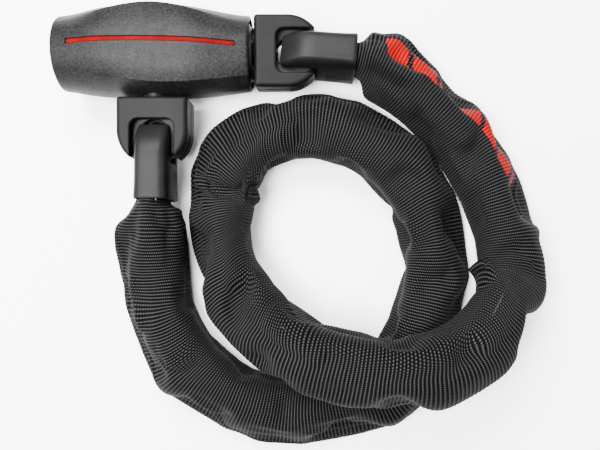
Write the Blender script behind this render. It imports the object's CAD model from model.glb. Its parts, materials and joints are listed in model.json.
"""Looks of the chain lock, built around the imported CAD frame. Lengths are in millimetres unless a name says otherwise."""

import json
import math

import bmesh
import bpy
import numpy as np
from mathutils import Matrix, Vector
from mathutils.bvhtree import BVHTree
from mathutils.kdtree import KDTree


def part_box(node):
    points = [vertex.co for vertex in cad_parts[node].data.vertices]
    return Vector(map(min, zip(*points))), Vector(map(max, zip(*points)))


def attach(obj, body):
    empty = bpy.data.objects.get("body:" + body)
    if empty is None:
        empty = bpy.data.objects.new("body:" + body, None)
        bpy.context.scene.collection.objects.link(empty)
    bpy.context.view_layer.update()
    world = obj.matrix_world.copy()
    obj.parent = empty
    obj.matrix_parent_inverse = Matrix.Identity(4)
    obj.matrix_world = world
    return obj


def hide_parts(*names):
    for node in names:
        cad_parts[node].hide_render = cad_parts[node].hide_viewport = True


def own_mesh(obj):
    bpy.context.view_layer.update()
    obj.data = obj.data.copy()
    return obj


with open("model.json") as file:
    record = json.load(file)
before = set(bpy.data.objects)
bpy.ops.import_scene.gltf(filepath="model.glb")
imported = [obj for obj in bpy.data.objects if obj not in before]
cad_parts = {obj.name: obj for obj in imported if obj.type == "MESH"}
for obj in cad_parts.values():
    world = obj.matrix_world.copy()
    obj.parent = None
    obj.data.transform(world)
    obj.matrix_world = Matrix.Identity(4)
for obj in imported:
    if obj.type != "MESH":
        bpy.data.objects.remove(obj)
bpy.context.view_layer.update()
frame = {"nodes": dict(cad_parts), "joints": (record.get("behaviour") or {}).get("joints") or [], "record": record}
MM = 0.001

# ---------------------------------------------------------------- driving dimensions (mm)
AXIS_Z = 20.0            # height of the barrel axis above the rest plane
BARREL_END_L = -47.0     # left face of the barrel
BARREL_END_R = 46.8      # right face of the barrel
SHELL_L, SHELL_R = -41.3, 41.3
END_HALF = 17.4          # half width of the barrel at its ends
MID_HALF_Y = 21.2        # half width of the barrel at its middle
MID_HALF_Z = 20.5        # half height at the middle, clipped flat at z = 0
SHELL_WALL = 2.4
SPLIT = 0.15             # half of the gap between the front and back shells

BOLT_X = -1.5            # centre of the locking bolt
BOLT_R = 6.0
BOLT_TIP_Y = -3.0
BOLT_TRAVEL = 20.0
GROOVE_Y = -9.0          # centre of the locking groove
GROOVE_W = 4.6
GROOVE_R = 4.6
PAWL_THROW = 1.8
PAWL_X1 = BOLT_X - GROOVE_R - 0.3 - PAWL_THROW      # nose of the pawl, drawn back at rest

EYE_R, EYE_HOLE_R, EYE_T = 14.4, 6.6, 8.4
EYE_L_Y = -39.7          # centre of the left eye hole
EYE_R_X, EYE_R_Y = 64.8, 0.0
SWIVEL_TILT = 4.0        # degrees the swivel eye is turned at rest

COVER_HALF_W, COVER_LEN, COVER_T = 17.3, 33.6, 20.0
SLOT_HALF = 10.6

BOOT_W, BOOT_H = 15.0, 30.0
BOOT_BACK, BOOT_FRONT = 3.7, 33.2
BOOT_TILT = -4.0
RIGHT_DIR = math.radians(-4.5)

WIRE = 5.7               # square chain steel
LINK_IN = 5.8           # half of the inner width of a link
LINK_RC = LINK_IN + WIRE / 2
LINK_A = 10.40           # half of the straight part of a link
PLAY = 1.4               # free play of a link bar inside its neighbour
END_CHORD = 45.0         # bar spacing of the long end links
FLAT_CHORD = 2 * LINK_A
TALL_CHORD = 2 * LINK_A + 2 * LINK_RC - 2 * PLAY

SLEEVE_R, SLEEVE_RI = 16.6, 15.9
CUFF_R, CUFF_RI = 13.6, 12.8
PASS_GAP = 33.5          # least distance between centre lines of two passes of the sleeve



# ---------------------------------------------------------------- chain path
# Hand-laid guide points (x, y, z in mm) along the middle of the chain, from the swivel eye to the bolt eye.
ARC_C = (67.0, -113.0)   # centre of the bend the slack run slides round
ARC_R = 68.5
DIR_R = Vector((math.cos(RIGHT_DIR), math.sin(RIGHT_DIR), 0))
EYE_R_POS = Vector((EYE_R_X, EYE_R_Y, AXIS_Z))
EYE_L_POS = Vector((BOLT_X, EYE_L_Y, AXIS_Z))
R_START = EYE_R_POS + DIR_R * END_CHORD

GUIDE = [
    tuple(EYE_R_POS + DIR_R * 24), tuple(R_START),
    (117.0, -8.5, 20.5), (128.5, -18.0, 20.5), (149.0, -38.0, 18.5), (166.5, -70.5, 19.5), (174.0, -100.0, 23.5),
    (171.0, -122.0, 29.5), (160.0, -138.5, 38.0), (139.0, -151.0, 45.5), (115.0, -154.0, 51.0), (90.0, -151.0, 48.5),
    (70.0, -144.0, 42.0), (52.0, -132.0, 33.5), (38.5, -115.5, 24.5), (30.5, -92.8, 19.0), (29.5, -70.0, 17.3),
    (35.0, -51.5, 17.0), (49.0, -39.5, 17.0), (70.2, -35.2, 17.0), (91.0, -37.2, 17.0), (111.0, -45.5, 17.0),
    (127.5, -60.0, 17.0), (137.0, -80.0, 17.0), (139.6, -98.5, 17.0), (138.6, -116.0, 17.0), (133.3, -133.5, 17.0),
    (123.0, -153.0, 17.0), (107.0, -171.5, 17.0),
]
for deg in (-75, -95, -115, -135, -155, -172):
    GUIDE.append((ARC_C[0] + ARC_R * math.cos(math.radians(deg)), ARC_C[1] + ARC_R * math.sin(math.radians(deg)), 17.0 if deg > -150 else 17.0 + (-150 - deg) * 0.1))
GUIDE += [(BOLT_X, -107.0, 19.0), (BOLT_X, -84.7, 20.0), (BOLT_X, -62.0, 20.0)]


def spline(points, step=0.5):
    """Centripetal Catmull-Rom through the guide points, sampled at an even step."""
    p = np.array(points, float)
    p = np.vstack([2 * p[0] - p[1], p, 2 * p[-1] - p[-2]])
    out = []
    for i in range(1, len(p) - 2):
        t = [0.0]
        for k in range(3):
            t.append(t[-1] + max(np.linalg.norm(p[i + k] - p[i + k - 1]), 1e-6) ** 0.5)
        u = np.linspace(t[1], t[2], 60, endpoint=False)[:, None]
        a1 = (t[1] - u) / (t[1] - t[0]) * p[i - 1] + (u - t[0]) / (t[1] - t[0]) * p[i]
        a2 = (t[2] - u) / (t[2] - t[1]) * p[i] + (u - t[1]) / (t[2] - t[1]) * p[i + 1]
        a3 = (t[3] - u) / (t[3] - t[2]) * p[i + 1] + (u - t[2]) / (t[3] - t[2]) * p[i + 2]
        b1 = (t[2] - u) / (t[2] - t[0]) * a1 + (u - t[0]) / (t[2] - t[0]) * a2
        b2 = (t[3] - u) / (t[3] - t[1]) * a2 + (u - t[1]) / (t[3] - t[1]) * a3
        out.append((t[2] - u) / (t[2] - t[1]) * b1 + (u - t[1]) / (t[2] - t[1]) * b2)
    out = np.vstack(out + [p[-2][None, :]])
    return resample(out, step)


def resample(q, step):
    d = np.r_[0, np.cumsum(np.linalg.norm(np.diff(q, axis=0), axis=1))]
    n = int(round(d[-1] / step))
    s = np.linspace(0, d[-1], n + 1)
    return np.stack([np.interp(s, d, q[:, k]) for k in range(3)], axis=1)


def smooth(q, width, keep):
    """Moving average along the path; the ends marked in keep stay where they are."""
    k = np.ones(2 * width + 1) / (2 * width + 1)
    pad = np.vstack([np.repeat(q[:1], width, 0), q, np.repeat(q[-1:], width, 0)])
    s = np.stack([np.convolve(pad[:, i], k, 'valid') for i in range(3)], axis=1)
    return q * keep[:, None] + s * (1 - keep[:, None])


def settle(q, rounds=60):
    """Push passes of the sleeve apart where they would press into each other, and keep them off the floor."""
    step = np.linalg.norm(q[1] - q[0])
    idx = np.arange(0, len(q), 8)
    far = int(70 / (8 * step))
    keep = np.zeros(len(q))
    n_end = int(55 / step)
    keep[:n_end] = np.linspace(1, 0, n_end) ** 0.5
    n_end = int(95 / step)
    keep[-n_end:] = np.minimum(1, np.linspace(0, 2.2, n_end))
    for _ in range(rounds):
        s = q[idx]
        diff = s[:, None] - s[None]
        dist = np.linalg.norm(diff, axis=2)
        apart = np.abs(np.arange(len(s))[:, None] - np.arange(len(s))[None]) > far
        push = np.where(apart & (dist < PASS_GAP), (PASS_GAP - dist), 0.0)
        move = (diff / np.maximum(dist, 1)[..., None] * push[..., None]).sum(1) / np.maximum((push > 0).sum(1), 1)[:, None]
        full = np.stack([np.interp(np.arange(len(q)), idx, move[:, k]) for k in range(3)], axis=1)
        q = q + 0.5 * full * (1 - keep[:, None])
        q[:, 2] = np.maximum(q[:, 2], SLEEVE_R + 0.3)
        q = smooth(q, int(6 / step), np.maximum(keep, 0.6))
    return q


PATH = settle(spline(GUIDE))
PATH = resample(PATH, 0.5)


def walk(path, start, direction, chord):
    """First point of the path further than chord from start, walking in direction (+1 or -1) by index."""
    i0 = int(np.argmin(np.linalg.norm(path - np.array(start), axis=1)))
    i = i0
    while 0 <= i + direction < len(path):
        i += direction
        d = np.linalg.norm(path[i] - np.array(start))
        if d >= chord:
            prev = path[i - direction]
            d0 = np.linalg.norm(prev - np.array(start))
            t = (chord - d0) / (d - d0)
            return Vector(prev * (1 - t) + path[i] * t)
    return None


N_FLAT = 14


def chain_pivots():
    """Pivot points of the chain, bolt eye first. The chord scale is solved so that the last one meets the swivel end link."""
    def run(scale):
        pts = [EYE_L_POS, EYE_L_POS + Vector((0, -END_CHORD, 0))]
        for k in range(2 * N_FLAT - 1):
            p = walk(PATH, pts[-1], -1, (FLAT_CHORD if k % 2 == 0 else TALL_CHORD) * scale)
            if p is None:
                return pts, -99.0
            pts.append(p)
        i = int(np.argmin(np.linalg.norm(PATH - np.array(pts[-1]), axis=1)))
        j = int(np.argmin(np.linalg.norm(PATH - np.array(R_START), axis=1)))
        return pts, (i - j) * 0.5
    lo, hi = 0.9, 1.1
    for _ in range(30):
        mid = (lo + hi) / 2
        pts, over = run(mid)
        if over > 0:
            lo = mid
        else:
            hi = mid
    # the chain has a little slack inside the sleeve, so it cuts the crest of the crossing short
    old = [p.copy() for p in pts]
    for k in range(2, len(pts) - 2):
        before, after = (old[k] - old[k - 1]).length, (old[k + 1] - old[k]).length
        pull = (old[k - 1] * after + old[k + 1] * before) / (before + after) - old[k]
        pts[k].z += min(max(0.7 * pull.z, -1.8), 1.5)
        flatwise = Vector((pull.x, pull.y, 0)) * 0.16
        pts[k] += flatwise * min(1.0, 0.8 / max(flatwise.length, 1e-6))
    pts[-1] = R_START.copy()
    pts.append(EYE_R_POS.copy())
    return pts, mid


PIVOTS, CHORD_SCALE = chain_pivots()



# ---------------------------------------------------------------- sleeve by cloth simulation
def frames_of(q):
    t = np.gradient(q, axis=0)
    t /= np.linalg.norm(t, axis=1)[:, None]
    s = np.cross(t, np.array([0, 0, 1.0]))
    s /= np.linalg.norm(s, axis=1)[:, None]
    n = np.cross(s, t)
    return t, s, n


def nearest_index(p):
    return int(np.argmin(np.linalg.norm(PATH - np.array(p), axis=1)))


def noise1(x, seed, freq):
    """Smooth 1-D value noise in -1..1."""
    rng = np.random.RandomState(seed)
    tab = rng.uniform(-1, 1, 4096)
    u = np.asarray(x, float) * freq + 100.0
    i = np.floor(u).astype(int)
    f = u - i
    f = f * f * (3 - 2 * f)
    return tab[i % 4096] * (1 - f) + tab[(i + 1) % 4096] * f


def noise2(x, y, seed, fx, fy, period=None):
    """Smooth 2-D value noise; y repeats after period cells when it is given."""
    rng = np.random.RandomState(seed)
    tab = rng.uniform(-1, 1, (512, 64))
    u, v = np.asarray(x, float) * fx + 50.0, np.asarray(y, float) * fy
    i, j = np.floor(u).astype(int), np.floor(v).astype(int)
    f, g = u - i, v - j
    f, g = f * f * (3 - 2 * f), g * g * (3 - 2 * g)
    m = period or 64
    a = tab[i % 512, j % m] * (1 - f) + tab[(i + 1) % 512, j % m] * f
    b = tab[i % 512, (j + 1) % m] * (1 - f) + tab[(i + 1) % 512, (j + 1) % m] * f
    return a * (1 - g) + b * g


I0 = nearest_index(EYE_R_POS + DIR_R * 31.0)
I1 = nearest_index((BOLT_X, -70.8, 20.0))
SPINE = resample(PATH[I0:I1 + 1], 0.5)
LENGTH = 0.5 * (len(SPINE) - 1)
N_RING, N_SEG = 430, 48
BIG = 10.0               # the simulation runs at a scale where cloth settings behave well


def sleeve_radius(d):
    """Half width and half height of the sleeve at distance d from its swivel end."""
    e = np.minimum(d, LENGTH - d)
    k = np.clip((e - 1.5) / 15.0, 0, 1)
    k = k * k * (3 - 2 * k)
    return 6.9 + (18.9 - 6.9) * k ** 0.8, 13.2 + (17.2 - 13.2) * k


def tube_points(q, half_w, half_h, seg):
    t, s, n = frames_of(q)
    ang = 2 * np.pi * np.arange(seg) / seg
    return q[:, None, :] + half_w[:, None, None] * np.cos(ang)[None, :, None] * s[:, None, :] + half_h[:, None, None] * np.sin(ang)[None, :, None] * n[:, None, :]


def grid_faces(n_ring, seg):
    i, j = np.meshgrid(np.arange(n_ring - 1), np.arange(seg), indexing='ij')
    k = (j + 1) % seg
    return np.stack([i * seg + j, (i + 1) * seg + j, (i + 1) * seg + k, i * seg + k], axis=-1).reshape(-1, 4)


def mesh_from(name, verts, faces):
    me = bpy.data.meshes.new(name)
    me.vertices.add(len(verts))
    me.vertices.foreach_set("co", np.asarray(verts, float).reshape(-1))
    faces = np.asarray(faces, int)
    me.loops.add(faces.size)
    me.loops.foreach_set("vertex_index", faces.reshape(-1))
    me.polygons.add(len(faces))
    me.polygons.foreach_set("loop_start", np.arange(len(faces)) * faces.shape[1])
    me.polygons.foreach_set("loop_total", np.full(len(faces), faces.shape[1]))
    me.update(calc_edges=True)
    me.validate()
    ob = bpy.data.objects.new(name, me)
    bpy.context.scene.collection.objects.link(ob)
    return ob


# how far the loose sleeve hangs outward of the chain inside it, by distance along it
HANG = ((0, 0), (40, 0), (80, 0.5), (100, 1.5), (120, 2.6), (140, 3.0), (160, 0.8), (180, 0), (200, 1.2), (220, 3.0), (240, 1.5), (260, 1.5), (290, 4.2), (320, 3.2), (340, 4.0),
        (360, 5.0), (380, 4.5), (420, 2.6), (440, 3.5), (480, 3.5), (500, 2.2), (520, 2.5), (560, 3.5), (580, 5.4), (600, 5.4), (620, 3.5), (640, 1.2), (665, 1.2), (685, 2.4),
        (700, 4.8), (720, 4.6), (740, 3.0), (760, 3.6), (775, 1.8), (789, 0))
# half of the width it spreads to there
SPREAD = ((0, 6.9), (16, 14.5), (40, 15.9), (60, 16.8), (100, 17.3), (140, 17.6), (160, 16.4), (180, 15.9), (220, 17.0), (240, 15.9), (290, 15.8), (360, 15.6), (380, 16.5),
          (420, 16.0), (440, 16.5), (500, 17.8), (520, 16.3), (560, 17.0), (600, 17.6), (640, 17.2), (680, 17.0), (700, 17.5), (740, 17.0), (762, 16.8), (774, 14.5), (789, 6.9))


def chain_envelope(d):
    """Centre, half width and half height of the chain inside the sleeve at distances d, from the links' own places."""
    piv = np.array([list(v) for v in PIVOTS])[::-1]
    q = np.stack([np.interp(d, np.arange(len(SPINE)) * 0.5, SPINE[:, k]) for k in range(3)], axis=1)
    centre = np.empty_like(q)
    for i, p in enumerate(q):
        a, b = piv[:-1], piv[1:]
        t = np.clip(((p - a) * (b - a)).sum(axis=1) / ((b - a) ** 2).sum(axis=1), 0, 1)
        c = a + (b - a) * t[:, None]
        centre[i] = c[np.argmin(np.linalg.norm(c - p, axis=1))]
    ker = np.ones(5) / 5
    for k in range(3):
        centre[2:-2, k] = np.convolve(centre[:, k], ker, 'valid')
    w, h = np.full(len(d), 3.6), np.full(len(d), 3.6)
    outer = LINK_IN + WIRE
    for i in range(len(piv) - 1):
        mid = (piv[i] + piv[i + 1]) / 2
        tall = (len(piv) - 2 - i) % 2 == 0
        long = END_CHORD / 2 + PLAY - LINK_RC if i in (0, len(piv) - 2) else LINK_A
        along = np.linalg.norm(q - mid, axis=1)
        e = np.sqrt(np.maximum(0, outer ** 2 - np.maximum(0, along - long) ** 2))
        if tall:
            h = np.maximum(h, e)
        else:
            w = np.maximum(w, e)
    return centre, w, h


def simulate_sleeve():
    d = np.linspace(0, LENGTH, N_RING)
    q = np.stack([np.interp(d, np.arange(len(SPINE)) * 0.5, SPINE[:, k]) for k in range(3)], axis=1)
    t, s, n = frames_of(q)
    hang = np.interp(d, [a for a, b in HANG], [b for a, b in HANG])
    q = q - s * np.convolve(np.pad(hang, 12, mode='edge'), np.ones(25) / 25, 'valid')[:, None]
    hw, hh = sleeve_radius(d)
    wob = 1 + 0.04 * noise1(d, 3, 0.045) + 0.025 * noise1(d, 4, 0.11)
    start = tube_points(q, hw * wob, hh * wob, N_SEG)
    ang = 2 * np.pi * np.arange(N_SEG) / N_SEG
    t, s, n = frames_of(q)
    bump = FOLD_SEED * noise2(d[:, None], np.arange(N_SEG)[None, :] / 6.0, 7, 0.07, 1.0, 8)
    start += bump[..., None] * (np.cos(ang)[None, :, None] * s[:, None] + np.sin(ang)[None, :, None] * n[:, None])
    cloth = mesh_from("sim_sleeve", start.reshape(-1, 3) * MM * BIG, grid_faces(N_RING, N_SEG))
    cloth.shape_key_add(name="Basis")
    key = cloth.shape_key_add(name="cut")
    # the sewn tube as it was cut: straight, longer than the chain run and a little wider than it ends up
    bend = np.linalg.norm(np.gradient(t, d, axis=0), axis=1)
    slack = 1 + SLACK_LOOSE + SLACK_BEND * 17.0 * bend
    e = np.minimum(d, LENGTH - d)
    slack = np.where(e < 12, 1.03, slack)
    x = np.r_[0, np.cumsum(np.diff(d) * slack[1:])]
    rest = np.zeros((N_RING, N_SEG, 3))
    rest[..., 0] = x[:, None]
    rest[..., 1] = hw[:, None] * np.cos(ang) * GIRTH
    rest[..., 2] = hh[:, None] * np.sin(ang) * GIRTH
    key.data.foreach_set("co", (rest.reshape(-1, 3) * MM * BIG).reshape(-1))
    key.value = 0.0
    pin = cloth.vertex_groups.new(name="pin")
    pin.add(list(range(3 * N_SEG)) + list(range((N_RING - 3) * N_SEG, N_RING * N_SEG)), 1.0, 'REPLACE')

    # what the fabric hangs on: the chain's own outline, flat and upright links by turns
    dc = np.linspace(1, LENGTH - 1, 560)
    qc, core_w, core_h = chain_envelope(dc)
    ec = np.minimum(dc, LENGTH - dc)
    core_w = np.minimum(core_w + 0.4, 4.6 + 0.5 * ec)
    core_h = np.minimum(core_h + 0.4, 11.4 + 0.1 * ec)
    tc, s_c, n_c = frames_of(qc)
    a = 2 * np.pi * np.arange(28) / 28
    cu, cv = np.sign(np.cos(a)) * np.abs(np.cos(a)) ** 1.2, np.sign(np.sin(a)) * np.abs(np.sin(a)) ** 1.2
    pts = qc[:, None] + core_w[:, None, None] * cu[None, :, None] * s_c[:, None] + core_h[:, None, None] * cv[None, :, None] * n_c[:, None]
    core = mesh_from("sim_core", pts.reshape(-1, 3) * MM * BIG, grid_faces(len(dc), 28))
    floor = mesh_from("sim_floor", [(-5, -5, 0.006), (5, -5, 0.006), (5, 5, 0.006), (-5, 5, 0.006)], [(0, 1, 2, 3)])
    for o, fr in ((core, 8.0), (floor, 8.0)):
        o.modifiers.new("Collision", 'COLLISION')
        o.collision.thickness_outer = 0.008
        o.collision.cloth_friction = fr
    m = cloth.modifiers.new("Cloth", 'CLOTH')
    c = m.settings
    c.quality = 7
    c.mass = 0.35
    c.air_damping = 1.0
    c.tension_stiffness = 25
    c.compression_stiffness = COMPRESS
    c.shear_stiffness = 8
    c.bending_stiffness = BENDING
    c.tension_damping = 6
    c.compression_damping = 4
    c.shear_damping = 5
    c.bending_damping = 0.5
    c.vertex_group_mass = "pin"
    c.rest_shape_key = key
    c.use_pressure = True
    c.uniform_pressure_force = PRESSURE
    c.effector_weights.gravity = 0.6
    m.collision_settings.use_collision = True
    m.collision_settings.distance_min = 0.006
    m.collision_settings.collision_quality = 2
    m.collision_settings.use_self_collision = False
    sc = bpy.context.scene
    sc.frame_start, sc.frame_end = 1, 60
    m.point_cache.frame_start, m.point_cache.frame_end = 1, 60
    for f in range(1, SIM_FRAMES + 1):
        sc.frame_set(f)
    dg = bpy.context.evaluated_depsgraph_get()
    ev = cloth.evaluated_get(dg)
    out = np.empty(len(ev.data.vertices) * 3)
    ev.data.vertices.foreach_get("co", out)
    sc.frame_set(1)
    for o in (cloth, core, floor):
        me = o.data
        bpy.data.objects.remove(o, do_unlink=True)
        bpy.data.meshes.remove(me)
    return out.reshape(N_RING, N_SEG, 3) / (MM * BIG), d, q


# ---------------------------------------------------------------- sleeve finishing
def periodic_smooth(a, w_len, w_ang):
    """Gaussian-like smoothing along the tube and round it."""
    out = a.copy()
    for _ in range(w_len):
        mid = 0.5 * out[1:-1] + 0.25 * (out[2:] + out[:-2])
        out[1:-1] = mid
    for _ in range(w_ang):
        out = 0.5 * out + 0.25 * (np.roll(out, 1, axis=1) + np.roll(out, -1, axis=1))
    return out


def keep_passes_apart(p, q, d, gap=0.35):
    """Each skin point stays nearer to its own centre line than to any other pass of it."""
    tree = KDTree(len(q))
    for i, c in enumerate(q):
        tree.insert(Vector(c), i)
    tree.balance()
    step = d[1] - d[0]
    n, m = p.shape[:2]
    reach = 20.0
    near = []
    for i in range(n):
        got = {}
        for co, k, dist in tree.find_range(Vector(q[i]), 2 * reach + 4):
            if abs(k - i) * step > 55:
                got[k] = dist
        near.append(np.array(sorted(got)) if got else np.zeros(0, int))
    for i in range(n):
        if not len(near[i]):
            continue
        a = q[i]
        b = q[near[i]]
        ab = b - a
        L = np.linalg.norm(ab, axis=1)
        u = ab / L[:, None]
        v = p[i] - a
        limit = L / 2 - gap
        along = v @ u.T
        over = along / limit[None, :]
        worst = over.max(axis=1)
        # press the whole point inward, softly, once it nears the neutral plane
        f = np.where(worst > 0.82, (0.82 + 0.18 * np.tanh((worst - 0.82) / 0.18)) / np.maximum(worst, 1e-6), 1.0)
        p[i] = a + v * f[:, None]
    return p


def cubic_grid(a, n_new, m_new):
    """Resample a (n, m, 3) tube grid to (n_new, m_new, 3); m is periodic. Catmull-Rom both ways."""
    n, m = a.shape[:2]

    def cr(p0, p1, p2, p3, t):
        return 0.5 * ((2 * p1) + (p2 - p0) * t + (2 * p0 - 5 * p1 + 4 * p2 - p3) * t ** 2 + (3 * p1 - p0 - 3 * p2 + p3) * t ** 3)
    u = np.linspace(0, n - 1, n_new)
    i = np.minimum(u.astype(int), n - 2)
    t = (u - i)[:, None, None]
    g = lambda k: a[np.clip(i + k, 0, n - 1)]
    b = cr(g(-1), g(0), g(1), g(2), t)
    v = np.arange(m_new) * m / m_new
    j = v.astype(int)
    t = (v - j)[None, :, None]
    h = lambda k: b[:, (j + k) % m]
    return cr(h(-1), h(0), h(1), h(2), t)


def grid_normals(p):
    du = np.gradient(p, axis=0)
    dv = (np.roll(p, -1, axis=1) - np.roll(p, 1, axis=1)) / 2
    n = np.cross(dv, du)
    n /= np.maximum(np.linalg.norm(n, axis=2), 1e-9)[..., None]
    c = p.mean(axis=1)[:, None]
    flip = np.sign(((p - c) * n).sum(axis=(1, 2)))
    return n * flip[:, None, None]


def arc_length(p):
    """Mean running length of the skin along the tube, so that ribs keep an even pitch on the folds."""
    seg = np.linalg.norm(np.diff(p, axis=0), axis=2).mean(axis=1)
    return np.r_[0, np.cumsum(seg)]


def moved_links():
    """Each link inside the sleeve at rest, and again along its run as the bolt is drawn: (place along the sleeve, tree)."""
    pull = [j for j in frame["joints"] if j["name"] == "bolt_pull"][0]["range_m"][1]
    follow = {c["joint"]: c["ratio"] for c in frame["record"]["behaviour"]["couplings"] if c["follows"] == "bolt_pull"}
    out = []
    for name, ob in frame["nodes"].items():
        if not (name.startswith("chain_link") or name.endswith("end_link")):
            continue
        lo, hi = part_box(name)
        mid = (np.array(lo) + np.array(hi)) / 2 / MM
        at = np.argmin(np.linalg.norm(SPINE - mid, axis=1)) * 0.5
        polys = [q.vertices for q in ob.data.polygons]
        steps = [Matrix.Identity(4)]
        number = int(name[-2:]) if name[-2:].isdigit() else 0
        for share in (0.2, 0.4, 0.6, 0.8, 1.0):
            if name == "left_end_link":
                steps.append(Matrix.Translation((0, -pull * share, 0)))
            elif number == 1:
                steps.append(Matrix.Translation((0, -pull * share * follow["slack_1"], 0)))
            elif 2 <= number <= 5:
                c = Vector((ARC_C[0] * MM, ARC_C[1] * MM, 0))
                steps.append(Matrix.Translation(c) @ Matrix.Rotation(pull * share * follow["slack_%d" % number], 4, 'Z') @ Matrix.Translation(-c))
        for m in steps:
            out.append((at, BVHTree.FromPolygons([m @ v.co for v in ob.data.vertices], polys)))
    return out


def chain_reach(p, c, d):
    """How far the links inside reach from each ring's chain centre toward each skin point."""
    trees = moved_links()
    n, m = p.shape[:2]
    reach = np.zeros((n, m))
    for i in range(n):
        near = [tree for at, tree in trees if abs(at - d[i]) < 42]
        o = Vector(c[i] * MM)
        for j in range(m):
            u = Vector((p[i, j] - c[i]) * MM)
            u.normalize()
            for tree in near:
                hit = tree.ray_cast(o + u * 0.022, -u, 0.022)
                if hit[0] is not None:
                    reach[i, j] = max(reach[i, j], (0.022 - hit[3]) / MM)
    for _ in range(2):
        grown = reach.copy()
        grown[1:] = np.maximum(grown[1:], reach[:-1])
        grown[:-1] = np.maximum(grown[:-1], reach[1:])
        reach = np.maximum(grown, np.maximum(np.roll(grown, 1, axis=1), np.roll(grown, -1, axis=1)))
    return reach


def clear_of_chain(p, d, gap=0.9):
    """Lifts any skin point off the links inside."""
    c = chain_envelope(d)[0]
    reach = chain_reach(p, c, d)
    reach[np.minimum(d, d[-1] - d) < 6] = 0
    v = p - c[:, None]
    r = np.linalg.norm(v, axis=2)
    need = np.where(reach > 0, reach + gap, 0)
    grow = np.maximum(1, need / np.maximum(r, 1e-6))
    return c[:, None] + v * grow[..., None]


def gauss1(a, sigma):
    k = np.arange(-int(3 * sigma), int(3 * sigma) + 1)
    w = np.exp(-0.5 * (k / sigma) ** 2)
    return np.convolve(np.pad(a, len(k) // 2, mode='edge'), w / w.sum(), 'valid')


def settle_width(p, d, q):
    """Brings the simulated tube to its resting line and spread, leaving its folds alone."""
    t, s, n = frames_of(q)
    v = p - q[:, None]
    u = (v * s[:, None]).sum(axis=2)
    lo, hi = np.percentile(u, 4, axis=1), np.percentile(u, 96, axis=1)
    mid = gauss1((lo + hi) / 2, 9)
    half = gauss1((hi - lo) / 2, 12)
    want = np.interp(d, [a for a, b in SPREAD], [b for a, b in SPREAD])
    e = np.clip((np.minimum(d, d[-1] - d) - 3) / 12.0, 0, 1)
    e = e * e * (3 - 2 * e)
    scale = 1 + (np.clip(want / half, 0.7, 1.5) - 1) * e
    new = (u - (mid * e)[:, None]) * scale[:, None]
    return p + s[:, None] * (new - u)[..., None]


def deepen_folds(p, q, k_out, k_in):
    """Draws the folds of the simulated cloth deeper, measured from its own smoothed form."""
    t, s, n = frames_of(q)
    v = p - q[:, None]
    a = (v * s[:, None]).sum(axis=2)
    b = (v * n[:, None]).sum(axis=2)
    r = np.hypot(a, b)
    low = np.stack([gauss1(r[:, j], 8) for j in range(r.shape[1])], axis=1)
    for _ in range(3):
        low = 0.5 * low + 0.25 * (np.roll(low, 1, axis=1) + np.roll(low, -1, axis=1))
    e = r - low
    new = low + np.where(e > 0, k_out * e, k_in * e)
    g = np.clip(new / np.maximum(r, 1e-6), 0.6, 1.5)
    fade = np.clip((np.minimum(np.arange(len(q)), len(q) - 1 - np.arange(len(q))) - 4) / 8.0, 0, 1)
    g = 1 + (g - 1) * fade[:, None]
    return p + (a * (g - 1))[..., None] * s[:, None] + (b * (g - 1))[..., None] * n[:, None]

# ---------------------------------------------------------------- materials
class Nodes:
    """Small helper that wires shader nodes."""

    def __init__(self, name):
        self.m = bpy.data.materials.new(name)
        self.m.use_nodes = True
        self.t = self.m.node_tree
        self.bsdf = self.t.nodes["Principled BSDF"]

    def link(self, value, socket):
        if isinstance(value, (int, float)):
            socket.default_value = value
        elif isinstance(value, (tuple, list)):
            socket.default_value = tuple(value) + ((1.0,) if len(value) == 3 and socket.type == 'RGBA' else ())
        else:
            self.t.links.new(value, socket)

    def math(self, op, a, b=0.0, c=0.0, clamp=False):
        n = self.t.nodes.new('ShaderNodeMath')
        n.operation = op
        n.use_clamp = clamp
        for v, s in zip((a, b, c), n.inputs):
            self.link(v, s)
        return n.outputs[0]

    def noise(self, scale, detail=3.0, rough=0.5, vec=None, distort=0.0):
        n = self.t.nodes.new('ShaderNodeTexNoise')
        n.inputs['Scale'].default_value = scale
        n.inputs['Detail'].default_value = detail
        n.inputs['Roughness'].default_value = rough
        n.inputs['Distortion'].default_value = distort
        if vec is None:
            vec = self.coord()
        self.t.links.new(vec, n.inputs['Vector'])
        return n.outputs['Fac']

    def coord(self, kind='Object'):
        if not hasattr(self, '_tc'):
            self._tc = self.t.nodes.new('ShaderNodeTexCoord')
        return self._tc.outputs[kind]

    def ramp(self, fac, stops):
        n = self.t.nodes.new('ShaderNodeValToRGB')
        e = n.color_ramp.elements
        while len(e) < len(stops):
            e.new(0.5)
        for k, (p, col) in enumerate(stops):
            e[k].position = p
            e[k].color = (*col, 1.0) if len(col) == 3 else col
        self.link(fac, n.inputs['Fac'])
        return n.outputs['Color']

    def mix(self, fac, a, b):
        n = self.t.nodes.new('ShaderNodeMix')
        n.data_type = 'RGBA'
        self.link(fac, n.inputs['Factor'])
        self.link(a, n.inputs[6])
        self.link(b, n.inputs[7])
        return n.outputs[2]

    def bump(self, height, strength, dist, normal=None):
        n = self.t.nodes.new('ShaderNodeBump')
        n.inputs['Strength'].default_value = strength
        n.inputs['Distance'].default_value = dist
        self.link(height, n.inputs['Height'])
        if normal is not None:
            self.t.links.new(normal, n.inputs['Normal'])
        return n.outputs['Normal']

    def set(self, **kw):
        for k, v in kw.items():
            self.link(v, self.bsdf.inputs[k.replace('_', ' ')])
        return self.m


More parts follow.
